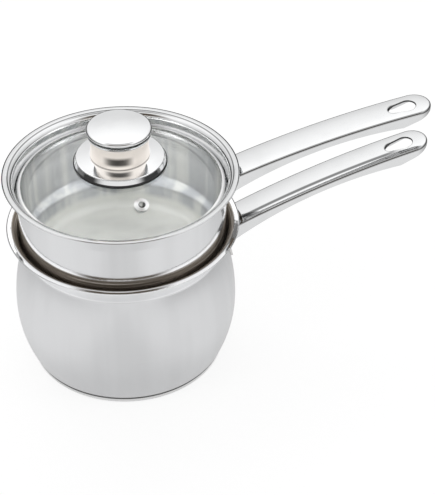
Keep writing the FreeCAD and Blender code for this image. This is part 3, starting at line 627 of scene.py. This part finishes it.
@dataclass(frozen=True)
class PanSteel(Finish):
    """A drawn pan: brushed outside, satin inside, polished on the inside of its mouth and on its lip, with
    painted light, shade and reflections in its colour.
    """

    rim: float
    crease: float
    wall_roughness: float
    inside_roughness: float
    inside_metallic: float = 1.0
    floor_metallic: float = 0.15
    colour: Colour = (0.775, 0.78, 0.79)
    flare_colour: Colour = (0.775, 0.78, 0.79)
    mouth_colour: Colour = (0.73, 0.735, 0.74)
    mouth_roughness: float = 0.07
    throat_colour: Colour = (0.75, 0.755, 0.76)
    throat_streak: Colour = (0.75, 0.755, 0.76)
    throat_metallic: float = 1.0
    ring_pitch: float = 1.6 * MM
    ring_length: float = 90 * MM
    ring_limits: Span = (0.5, 0.66)
    lip_depth: Span = (0.5 * MM, 1.5 * MM)
    edge_reach: Span = (83.9 * MM, 84.9 * MM)
    edge_depth: float = 0.6 * MM
    edge_painted_shade: float = 0.6
    bead_radius: float = 80.6 * MM
    bead_width: float = 0.75 * MM
    bead_depth: float = 0.25 * MM
    bead_painted_shade: float = 0.7
    # The inside floor is painted lighter and the inside wall darker: painted light and shade on one steel.
    painted_lit_floor: Colour = (0.97, 0.97, 0.93)
    painted_shaded_wall: Colour = (0.43, 0.45, 0.48)
    inside_floor: float = 0.0
    floor_rise: Span = (6 * MM, 14 * MM)
    crease_width: float = 0.5 * MM
    brush_pitch: float = 0.9 * MM
    brush_length: float = 60 * MM
    brush_depth: float = 3e-6
    polish_share: float = 0.8
    anisotropy: float = 0.35
    smear_size: float = 30 * MM
    smear_share: float = 0.05
    streak_width: float = 15 * MM
    streak_limits: Span = (0.38, 0.62)
    streak_mix: float = 0.65
    streak_share: float = 0.03
    patch_size: Span = (60 * MM, 26 * MM)
    patch_limits: Span = (0.42, 0.62)
    patch_painted_reflection: float = 0.13
    weld_places: tuple[Span, ...] = ()
    weld_radius: float = 2.2 * MM
    weld_flat: float = 0.4
    weld_depth: float = 60e-6

    def material(self) -> bpy.types.Material:
        """Builds the material.

        Returns:
            The finished material.
        """
        graph, material = self.start()
        place = Place(graph)
        zones = self._zones(graph, place)
        smears = place.smears(self.smear_size)
        floor_share = self.floor_metallic + (1 - self.floor_metallic) * zones.rise
        self.close(graph, {
            "Base Color": self._steel(graph, place, zones),
            "Metallic": (1 - zones.inside * (1 - self.inside_metallic * floor_share)
                         - zones.mouth * zones.throat * (1 - self.throat_metallic)),
            "Roughness": (place.outside * self.wall_roughness + zones.mouth * self.mouth_roughness
                          + zones.inside * self.inside_roughness
                          + self.smear_share * (smears - NOISE_MIDDLE)),
            "Anisotropic": self.anisotropy,
            "Normal": self._relief(graph, place, zones),
        })
        return material

    def _zones(self, graph: Graph, place: Place) -> PanZones:
        """Tells the parts of the pan from each other.

        Args:
            graph: the material's nodes.
            place: the shaded point.

        Returns:
            The zones.
        """
        half = self.crease_width / 2
        flare = graph.smooth(place.z, self.crease - half, self.crease + half)
        mouth = flare * (1 - place.outside)
        throat = graph.smooth(self.rim - place.z, *self.lip_depth)
        from_bead = abs(place.radius - self.bead_radius)
        return PanZones(
            flare=flare,
            mouth=mouth,
            inside=(1 - place.outside) * (1 - mouth),
            throat=throat,
            bead=(1 - graph.smooth(from_bead, 0.0, self.bead_width)) * mouth * (1 - throat),
            edge=graph.smooth(place.radius, *self.edge_reach),
            rise=graph.smooth(place.z - self.inside_floor, *self.floor_rise),
        )

    def _relief(self, graph: Graph, place: Place, zones: PanZones) -> Wire:
        """Brushing lines, the lip's bead and edge, and the weld marks.

        Args:
            graph: the material's nodes.
            place: the shaded point.
            zones: the pan's zones.

        Returns:
            The bent normal.
        """
        brush = place.lines(Grain.ROUND, self.brush_pitch, self.brush_length)
        normal = graph.bump(brush * (1 - self.polish_share * zones.mouth), self.brush_depth)
        normal = graph.bump(1 - zones.bead, self.bead_depth, normal)
        normal = graph.bump(1 - zones.edge, self.edge_depth, normal)
        if self.weld_places:
            normal = graph.bump(self._welds(graph, place), self.weld_depth, normal)
        return normal

    def _steel(self, graph: Graph, place: Place, zones: PanZones) -> Wire:
        """Colour of the steel, with rings in the throat, streaks, and painted light, shade and reflections in
        the throat, inside and at the lip.

        Args:
            graph: the material's nodes.
            place: the shaded point.
            zones: the pan's zones.

        Returns:
            The colour.
        """
        # Rings in the throat: painted shade and reflection of the gap between the pans where the throat
        # colours are dark.
        rings = graph.smooth(place.lines(Grain.ROUND, self.ring_pitch, self.ring_length), *self.ring_limits)
        throat = graph.mix(rings, self.throat_colour, self.throat_streak)
        polished = graph.mix(zones.throat, self.mouth_colour, throat)
        streaks = graph.smooth(place.spots(self.streak_width, self.streak_width), *self.streak_limits)
        patches = graph.smooth(place.spots(*self.patch_size), *self.patch_limits)
        # Painted light: the inside floor lighter than the wall, with lighter streaks up the wall.
        within = graph.mix(zones.rise * (1 - self.streak_mix * streaks), self.painted_lit_floor, self.painted_shaded_wall)
        wall = graph.mix(zones.flare, self.colour, self.flare_colour)
        steel = graph.mix(zones.mouth, graph.mix(zones.inside, wall, within), polished)
        # Painted shade in the lip's bead and at its rounded outer edge, with darker streaks.
        shade = self.streak_share * streaks + self.bead_painted_shade * zones.bead
        shade = shade + self.edge_painted_shade * zones.edge * zones.mouth
        # Painted reflections: soft darker patches on the inside floor.
        shade = shade + self.patch_painted_reflection * zones.inside * (1 - zones.rise) * patches
        return steel * (1 - shade)

    def _welds(self, graph: Graph, place: Place) -> Wire:
        """Shallow round marks inside the wall where the handle's plate is spot-welded.

        Args:
            graph: the material's nodes.
            place: the shaded point.

        Returns:
            One in the middle of each mark, zero away from them.
        """
        marks: Operand = 0.0
        for across, level in self.weld_places:
            from_middle = ((place.y - across) ** 2.0 + (place.z - level) ** 2.0) ** 0.5
            mark = 1 - graph.smooth(from_middle, self.weld_flat * self.weld_radius, self.weld_radius)
            marks = mark + marks
        return marks * (place.x > 0.0) * (1 - place.outside)


@dataclass(frozen=True)
class TurnedSteel(Finish):
    """Metal faced on a lathe, with fine rings about the axis and any painted dark lines."""

    colour: Colour = (0.70, 0.70, 0.70)
    dull_share: float = 0.85
    dull_limits: Span = (0.35, 0.7)
    roughness: float = 0.24
    ring_pitch: float = 0.8 * MM
    ring_length: float = 80 * MM
    ring_depth: float = 6e-6
    ring_roughness: float = 0.12
    painted_dark_lines: tuple[PaintedDarkLine, ...] = ()

    def material(self) -> bpy.types.Material:
        """Builds the material.

        Returns:
            The finished material.
        """
        graph, material = self.start()
        place = Place(graph)
        rings = place.lines(Grain.ROUND, self.ring_pitch, self.ring_length)
        dull = dimmed(self.colour, self.dull_share)
        # Painted shade along the piece's dark lines.
        shade = shade_of(self.painted_dark_lines, graph, place)
        self.close(graph, {
            "Base Color": graph.mix(graph.smooth(rings, *self.dull_limits), self.colour, dull) * (1 - shade),
            "Metallic": 1.0,
            "Roughness": self.roughness + self.ring_roughness * rings,
            "Normal": graph.bump(rings, self.ring_depth),
        })
        return material


@dataclass(frozen=True)
class EyeletSteel(Finish):
    """Satin steel of the vent, with painted shade inside its bore."""

    middle: Vector = field(default_factory=Vector)
    axis: Vector = field(default_factory=Vector)
    bore: float = 2 * MM
    bore_shade_reach: Span = (0.3 * MM, 0.6 * MM)
    colour: Colour = (0.90, 0.90, 0.90)
    bore_painted_shade: Colour = (0.05, 0.05, 0.05)
    roughness: float = 0.32
    smear_size: float = 3 * MM
    smear_share: float = 0.08
    smear_depth: float = 4e-6

    def material(self) -> bpy.types.Material:
        """Builds the material.

        Returns:
            The finished material.
        """
        graph, material = self.start()
        place = Place(graph)
        out = graph.vector(place.x, place.y, place.z) - graph.vector(*self.middle)
        axis = graph.vector(*self.axis)
        across = out - axis * (out @ axis)
        start, stop = (self.bore + reach for reach in self.bore_shade_reach)
        # Painted shade on the bore's wall, reaching a little onto the top round it.
        wall = 1 - graph.smooth((across @ across) ** 0.5, start, stop)
        smears = place.smears(self.smear_size)
        self.close(graph, {
            "Base Color": graph.mix(wall, self.colour, self.bore_painted_shade),
            "Metallic": 1.0,
            "Roughness": self.roughness + self.smear_share * (smears - NOISE_MIDDLE),
            "Normal": graph.bump(smears, self.smear_depth),
        })
        return material


@dataclass(frozen=True)
class ClearGlass(Finish):
    """Toughened lid glass, clear with a faint green tint and a few wiped streaks."""

    colour: Colour = (0.975, 0.985, 0.978)
    wiped_colour: Colour = (0.985, 0.99, 0.985)
    wiped_limits: Span = (0.3, 0.8)
    roughness: float = 0.0
    smear_size: float = 25 * MM
    smear_limits: Span = (0.55, 0.8)
    smear_roughness: float = 0.012
    index: float = 1.5

    def material(self) -> bpy.types.Material:
        """Builds the material.

        Returns:
            The finished material.
        """
        graph, material = self.start()
        smears = Place(graph).smears(self.smear_size)
        wiped = graph.smooth(smears, *self.wiped_limits)
        self.close(graph, {
            "Base Color": graph.mix(wiped, self.colour, self.wiped_colour),
            "Roughness": self.roughness + self.smear_roughness * graph.smooth(smears, *self.smear_limits),
            "IOR": self.index,
            "Transmission Weight": 1.0,
        })
        return material


@dataclass(frozen=True)
class Rubber(Finish):
    """Moulded rubber or silicone with a fine skin."""

    colour: Colour = (0.02, 0.02, 0.021)
    pale_gain: float = 1.25
    pale_lift: float = 0.004
    pale_limits: Span = (0.3, 0.75)
    roughness: float = 0.55
    skin_size: float = 0.4 * MM
    skin_share: float = 0.2
    skin_depth: float = 12e-6

    def material(self) -> bpy.types.Material:
        """Builds the material.

        Returns:
            The finished material.
        """
        graph, material = self.start()
        skin = Place(graph).smears(self.skin_size)
        pale = tuple(min(1.0, part + self.pale_lift) for part in dimmed(self.colour, self.pale_gain))
        self.close(graph, {
            "Base Color": graph.mix(graph.smooth(skin, *self.pale_limits), self.colour, pale),
            "Roughness": self.roughness + self.skin_share * (skin - NOISE_MIDDLE),
            "Normal": graph.bump(skin, self.skin_depth),
        })
        return material


def weld_grid(middle: float, aside: float = 7 * MM, rise: float = 6 * MM) -> tuple[Span, ...]:
    """Four spot welds as (sideways, height), set off from the middle of a handle's plate."""
    return tuple((side * aside, middle + step * rise) for side in (-1, 1) for step in (-1, 1))


def middle_of(node: str) -> Vector:
    """Middle of a CAD node's box."""
    low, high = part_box(node)
    return (low + high) / 2


def dress(finish: Finish, *nodes: str) -> None:
    """Gives CAD nodes one finish.

    Args:
        finish: the finish.
        nodes: names of the nodes.
    """
    material = finish.material()
    for name in nodes:
        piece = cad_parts[name]
        piece.data.materials.clear()
        piece.data.materials.append(material)
        LOG.info("%s: %s", name, finish.name)


@dataclass
class LowerPan:
    """The bellied saucepan with its sandwich base."""

    crease_below_rim: float = 16.7 * MM
    wall_roughness: float = 0.30
    inside_roughness: float = 0.30
    # Flare and lip colours, lighter than the belly's steel: partly their polish, partly a painted highlight.
    flare_colour: Colour = (0.98, 0.985, 0.995)
    lip_polish_and_painted_highlight: Colour = (1.0, 1.0, 1.0)
    lip_depth: Span = (0.03 * MM, 0.3 * MM)
    edge_reach: Span = (84.2 * MM, 84.9 * MM)
    edge_painted_shade: float = 0.5
    # Dark brown throat below the lip, in rings: painted shade and reflection of the gap between the pans.
    gap_painted_shade: Colour = (0.23, 0.19, 0.15)
    gap_painted_streak: Colour = (0.60, 0.54, 0.47)
    throat_metallic: float = 0.5
    base_colour: Colour = (0.97, 0.97, 0.97)
    # Painted shade along the base's lower rounding and in the groove between the base and the pan.
    base_foot_painted_shade: PaintedDarkLine = PaintedDarkLine(0.6 * MM, 1.0 * MM, 0.6)
    base_groove_painted_shade: PaintedDarkLine = PaintedDarkLine(0.0, 0.8 * MM, 0.5)
    disc_colour: Colour = (0.80, 0.80, 0.79)
    disc_roughness: float = 0.4

    def dress(self) -> None:
        """Dresses the pan's shell and base."""
        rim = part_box("lower_pan_shell")[1].z
        dress(PanSteel("lower_pan_steel", rim=rim, crease=rim - self.crease_below_rim,
                       wall_roughness=self.wall_roughness, inside_roughness=self.inside_roughness,
                       flare_colour=self.flare_colour, mouth_colour=self.lip_polish_and_painted_highlight, lip_depth=self.lip_depth,
                       edge_reach=self.edge_reach, edge_painted_shade=self.edge_painted_shade, throat_colour=self.gap_painted_shade,
                       throat_streak=self.gap_painted_streak, throat_metallic=self.throat_metallic,
                       weld_places=weld_grid(middle_of("lower_handle_bracket").z)), "lower_pan_shell")
        base_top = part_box("base_cap")[1].z
        dress(TurnedSteel("base_steel", colour=self.base_colour,
                          painted_dark_lines=(self.base_foot_painted_shade, self.base_groove_painted_shade.above(base_top))), "base_cap")
        dress(TurnedSteel("heat_disc_aluminium", colour=self.disc_colour, roughness=self.disc_roughness),
              "base_heat_disc")


@dataclass
class InsertPan:
    """The upper pan that hangs in the lower one's mouth."""

    crease_below_rim: float = 14.1 * MM
    depth: float = 78.5 * MM
    wall_roughness: float = 0.11
    inside_roughness: float = 0.36
    inside_metallic: float = 0.6

    def dress(self) -> None:
        """Dresses the insert's shell."""
        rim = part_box("upper_pan_shell")[1].z
        dress(PanSteel("upper_pan_steel", rim=rim, crease=rim - self.crease_below_rim,
                       wall_roughness=self.wall_roughness, inside_roughness=self.inside_roughness,
                       inside_metallic=self.inside_metallic, inside_floor=rim - self.depth,
                       weld_places=weld_grid(middle_of("upper_handle_bracket").z)), "upper_pan_shell")


@dataclass
class Handles:
    """Both handles: polished pressing, satin closing strip and weld plate."""

    tip_rises: Mapping[str, float] = field(default_factory=lambda: {"lower": 37.6 * MM, "upper": 24.4 * MM})
    # How dark each handle's painted reflection of the other handle is.
    painted_streak_shades: Mapping[str, float] = field(default_factory=lambda: {"lower": 0.75, "upper": 0.0})
    root_drop: float = 9 * MM
    colour: Colour = (0.79, 0.795, 0.80)
    strip_colour: Colour = (0.74, 0.74, 0.74)
    strip_roughness: float = 0.22
    plate_colour: Colour = (0.70, 0.69, 0.68)
    plate_roughness: float = 0.16

    def dress(self) -> None:
        """Dresses the pieces of both handles."""
        for side, tip_rise in self.tip_rises.items():
            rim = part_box(f"{side}_pan_shell")[1]
            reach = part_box(f"{side}_handle_shell")[1].x
            root = Vector((rim.x, 0.0, rim.z - self.root_drop))
            tip = Vector((reach, 0.0, rim.z + tip_rise))
            form = HandleForm(root, tip)
            form.round_edge(f"{side}_handle_shell")
            dress(HandleSteel(f"{side}_handle_steel", colour=self.colour, grain=Grain.ALONG, form=form,
                              painted_streak_shade=self.painted_streak_shades[side]), f"{side}_handle_shell")
        dress(PolishedSteel("strip_steel", colour=self.strip_colour, roughness=self.strip_roughness,
                            grain=Grain.ALONG), *(f"{side}_handle_strip" for side in self.tip_rises))
        dress(PolishedSteel("plate_steel", colour=self.plate_colour, roughness=self.plate_roughness),
              *(f"{side}_handle_bracket" for side in self.tip_rises))


@dataclass
class GlassLid:
    """Glass dome in its steel band, with the vent."""

    dome_radius: float = 127.4 * MM
    band_colour: Colour = (0.80, 0.80, 0.80)
    band_roughness: float = 0.06
    silicone_colour: Colour = (0.55, 0.56, 0.56)
    silicone_roughness: float = 0.4

    def dress(self) -> None:
        """Dresses the lid without its knob."""
        dress(ClearGlass("lid_glass"), "lid_glass")
        dress(PolishedSteel("band_steel", colour=self.band_colour, roughness=self.band_roughness),
              "lid_rim_band")
        vent = middle_of("vent_eyelet")
        lean = Vector((vent.x, vent.y, 0.0)) / self.dome_radius
        axis = lean + Vector((0.0, 0.0, math.sqrt(1 - lean.length_squared)))
        dress(EyeletSteel("vent_steel", middle=vent, axis=axis), "vent_eyelet")
        dress(Rubber("clear_silicone", colour=self.silicone_colour, roughness=self.silicone_roughness),
              "lid_rim_seal", "vent_washer", "knob_seal")


@dataclass
class Knob:
    """The polished knob, its gasket and its fixing."""

    colour: Colour = (0.83, 0.835, 0.84)
    roughness: float = 0.05
    cap_plug: float = 4 * MM
    # Painted reflections and shade: dark lines round the cap's side and along its lower edge.
    cap_painted_lines: tuple[PaintedDarkLine, ...] = (
        PaintedDarkLine(3.0 * MM, 1.2 * MM, 0.85),
        PaintedDarkLine(0.1 * MM, 0.6 * MM, 0.6),
    )
    # The neck's warm beige tint is a painted reflection, and the neck glows as painted light.
    neck_painted_reflection_tint: Colour = (1.0, 0.93, 0.86)
    neck_metallic: float = 0.3
    neck_roughness: float = 0.16
    neck_light: float = 0.28
    # Painted shade at the neck's foot, and a painted reflection of the dark side low on its front.
    neck_painted_lines: tuple[PaintedDarkLine, ...] = (
        PaintedDarkLine(0.3 * MM, 0.6 * MM, 0.6),
        PaintedDarkLine(6.0 * MM, 4.4 * MM, 0.93, DARK_SIDE),
    )
    fixing_roughness: float = 0.3

    def dress(self) -> None:
        """Dresses the knob."""
        cap_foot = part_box("knob_cap")[0].z + self.cap_plug
        neck_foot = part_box("knob_neck")[0].z
        dress(PolishedSteel("knob_cap_steel", colour=self.colour, roughness=self.roughness,
                            painted_dark_lines=tuple(line.above(cap_foot) for line in self.cap_painted_lines)), "knob_cap")
        dress(PolishedSteel("knob_steel", colour=self.colour, roughness=self.roughness), "knob_skirt")
        dress(PolishedSteel("knob_neck_steel", colour=self.neck_painted_reflection_tint, metallic=self.neck_metallic,
                            roughness=self.neck_roughness, thrown_light=self.neck_light,
                            painted_dark_lines=tuple(line.above(neck_foot) for line in self.neck_painted_lines)), "knob_neck")
        dress(Rubber("gasket_rubber"), "knob_gasket")
        dress(TurnedSteel("fixing_steel", roughness=self.fixing_roughness),
              "knob_nut", "knob_screw", "knob_washer")


@dataclass
class Softbox:
    """A soft studio lamp that faces the object."""

    name: str
    place: Vector
    width: float
    height: float
    energy: float

    def build(self, target: Vector) -> None:
        """Adds the lamp.

        Args:
            target: the point that it faces.
        """
        lamp = bpy.data.lights.new(self.name, "AREA")
        lamp.shape = "RECTANGLE"
        lamp.size = self.width
        lamp.size_y = self.height
        lamp.energy = self.energy
        stand = bpy.data.objects.new(self.name, lamp)
        stand.location = self.place
        stand.visible_glossy = False
        stand.rotation_euler = (target - self.place).to_track_quat("-Z", "Y").to_euler()
        bpy.context.scene.collection.objects.link(stand)


@dataclass
class Studio:
    """White room with a dark side behind the camera, a pale floor and soft lamps."""

    floor_size: float = 6.0
    floor_colour: Colour = (0.30, 0.30, 0.30)
    floor_glow: float = 0.80
    reflected_share: float = 0.84
    room_light: float = 0.55
    glass_light: float = 2.55
    glass_share: float = 0.3
    ceiling_light: float = 0.5
    wall_light: Span = (0.85, 1.30)
    horizon_light: float = 0.05
    front_light: float = 0.95
    wall_rise: Span = (0.14, 0.30)
    wall_span: Span = (0.35, 0.82)
    ceiling_rise: Span = (0.88, 0.97)
    dark_side: Vector = field(default_factory=DARK_SIDE.copy)
    dark_colour: Colour = (0.12, 0.10, 0.08)
    dark_width: Span = (0.45, 0.85)
    dark_foot: Span = (0.42, 0.54)
    dark_head: Span = (0.80, 0.90)
    floor_lead: float = 1.05
    floor_reach: Span = (1.0, 1.5)
    lane_width: Span = (0.03, 0.11)
    lane_painted_shadow: float = 0.17
    foot_reach: Span = (0.085, 0.13)
    foot_painted_shadow: float = 0.08
    lamp_target: Vector = field(default_factory=lambda: Vector((0.05, 0.0, 0.09)))
    softboxes: tuple[Softbox, ...] = (
        Softbox("overhead_softbox", Vector((0.1, 0.9, 1.3)), 1.6, 0.9, 4.0),
        Softbox("left_softbox", Vector((-1.3, -0.5, 0.9)), 0.7, 1.0, 3.0),
        Softbox("right_softbox", Vector((1.3, -0.7, 0.8)), 0.6, 0.9, 2.0),
    )

    def build(self) -> None:
        """Adds the room, the floor and the lamps."""
        self._room()
        self._floor()
        for softbox in self.softboxes:
            softbox.build(self.lamp_target)
        bpy.context.scene.view_settings.view_transform = "Standard"

    def _room(self) -> None:
        """White to the camera, with a dark side to metal and glass, and an even light to everything else."""
        world = bpy.data.worlds.new("white_room")
        world.use_nodes = True
        bpy.context.scene.world = world
        graph = Graph(world.node_tree)
        rays = graph.node("ShaderNodeLightPath")
        direction = graph.out(graph.node("ShaderNodeTexCoord"), "Generated")
        height = graph.out(graph.node("ShaderNodeSeparateXYZ", {}, {0: direction}), "Z")
        sideways = (direction @ graph.vector(*self.dark_side)) / graph.larger(1 - height * height, 0.0) ** 0.5
        front = graph.smooth(sideways, *self.dark_width)
        shade = front * graph.smooth(height, *self.dark_foot) * (1 - graph.smooth(height, *self.dark_head))
        skirting, near_floor, wall_foot, wall_head, ceiling = ((light,) * 3 for light in (
            self.horizon_light, self.front_light, *self.wall_light, self.ceiling_light))
        walls = graph.mix(graph.smooth(height, *self.wall_span), wall_foot, wall_head)
        horizon = graph.mix(front, skirting, near_floor)
        lower_room = graph.mix(graph.smooth(height, *self.wall_rise), horizon, walls)
        whole_room = graph.mix(graph.smooth(height, *self.ceiling_rise), lower_room, ceiling)
        seen_room = graph.mix(shade, whole_room, self.dark_colour)
        through = graph.mix(self.glass_share, (self.glass_light,) * 3, seen_room)
        lit = graph.mix(graph.out(rays, "Is Glossy Ray"), (self.room_light,) * 3, seen_room)
        lit = graph.mix(graph.out(rays, "Is Transmission Ray"), lit, through)
        colour = graph.mix(graph.out(rays, "Is Camera Ray"), lit, (1.0, 1.0, 1.0))
        background = graph.node("ShaderNodeBackground", {}, {"Color": colour, "Strength": 1.0})
        graph.node("ShaderNodeOutputWorld", {}, {"Surface": graph.out(background)})

    def _floor(self) -> None:
        """A pale floor that glows for the camera, metal and glass, and takes the object's shadow."""
        half = self.floor_size / 2
        mesh = bpy.data.meshes.new("floor")
        corners = [(side * half, end * half, 0.0) for side, end in ((-1, -1), (1, -1), (1, 1), (-1, 1))]
        mesh.from_pydata(corners, [], [(0, 1, 2, 3)])
        floor = bpy.data.objects.new("floor", mesh)
        bpy.context.scene.collection.objects.link(floor)
        material = bpy.data.materials.new("floor_paper")
        material.use_nodes = True
        graph = Graph(material.node_tree)
        rays = graph.node("ShaderNodeLightPath")
        reflected = graph.out(rays, "Is Glossy Ray") + graph.out(rays, "Is Transmission Ray")
        shine = self.reflected_share * reflected * self._nearness(graph)
        seen = graph.out(rays, "Is Camera Ray") + shine
        paper = graph.out(graph.node("ShaderNodeBsdfDiffuse", {}, {"Color": (*self.floor_colour, 1.0)}))
        glow = graph.out(graph.node("ShaderNodeEmission", {}, {"Color": seen, "Strength": self.floor_glow}))
        both = graph.out(graph.node("ShaderNodeAddShader", {}, {0: paper, 1: glow}))
        graph.node("ShaderNodeOutputMaterial", {}, {"Surface": both})
        mesh.materials.append(material)

    def _nearness(self, graph: Graph) -> Wire:
        """How much of the floor's glow metal and glass show.

        Args:
            graph: the floor's nodes.

        Returns:
            One on the floor before the object, less in its painted shadow lane and painted shade at its foot,
            zero far away.
        """
        place = Place(graph)
        middle = self.floor_lead * self.dark_side
        away = ((place.x - middle.x) ** 2.0 + (place.y - middle.y) ** 2.0) ** 0.5
        aside = place.x * self.dark_side.y - place.y * self.dark_side.x
        # Painted shadow in the floor's glow, seen only in reflections: a lane before the object and darker
        # floor round its foot.
        lane = 1 - graph.smooth(abs(aside), *self.lane_width)
        foot = 1 - graph.smooth(place.radius, *self.foot_reach)
        nearness = 1 - graph.smooth(away, *self.floor_reach)
        return nearness * (1 - self.lane_painted_shadow * lane) * (1 - self.foot_painted_shadow * foot)


@dataclass
class PhotoCamera:
    """The camera that took the photograph, as worked out from its ellipses and edges."""

    azimuth: float = math.radians(-14.0)
    elevation: float = math.radians(38.127)
    distance: float = 1.165
    focal_pixels: float = 1572.75
    aim_height: float = 90 * MM
    aim_right: float = 69.064 * MM
    aim_up: float = -0.653 * MM

    def build(self) -> None:
        """Adds the camera and makes it the scene's own."""
        back = Vector((math.sin(self.azimuth) * math.cos(self.elevation),
                       -math.cos(self.azimuth) * math.cos(self.elevation),
                       math.sin(self.elevation)))
        right = Vector((math.cos(self.azimuth), math.sin(self.azimuth), 0.0))
        up = back.cross(right)
        aim = Vector((0.0, 0.0, self.aim_height)) + self.aim_right * right + self.aim_up * up
        data = bpy.data.cameras.new("photo_camera")
        data.sensor_width = SENSOR_MM
        data.lens = self.focal_pixels * SENSOR_MM / max(IMAGE_WIDTH, IMAGE_HEIGHT)
        camera = bpy.data.objects.new("photo_camera", data)
        turn = Matrix((right, up, back)).transposed().to_4x4()
        camera.matrix_world = Matrix.Translation(aim + self.distance * back) @ turn
        bpy.context.scene.collection.objects.link(camera)
        bpy.context.scene.camera = camera


def main() -> None:
    """Dresses the double boiler and sets up the studio and the camera."""
    logging.basicConfig(level=logging.INFO, format="%(name)s: %(message)s")
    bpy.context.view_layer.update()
    PhotoCamera().build()
    Studio().build()
    for part in (LowerPan(), InsertPan(), Handles(), GlassLid(), Knob()):
        LOG.info("dressing %s", type(part).__name__)
        part.dress()


if __name__ == "__main__":
    main()
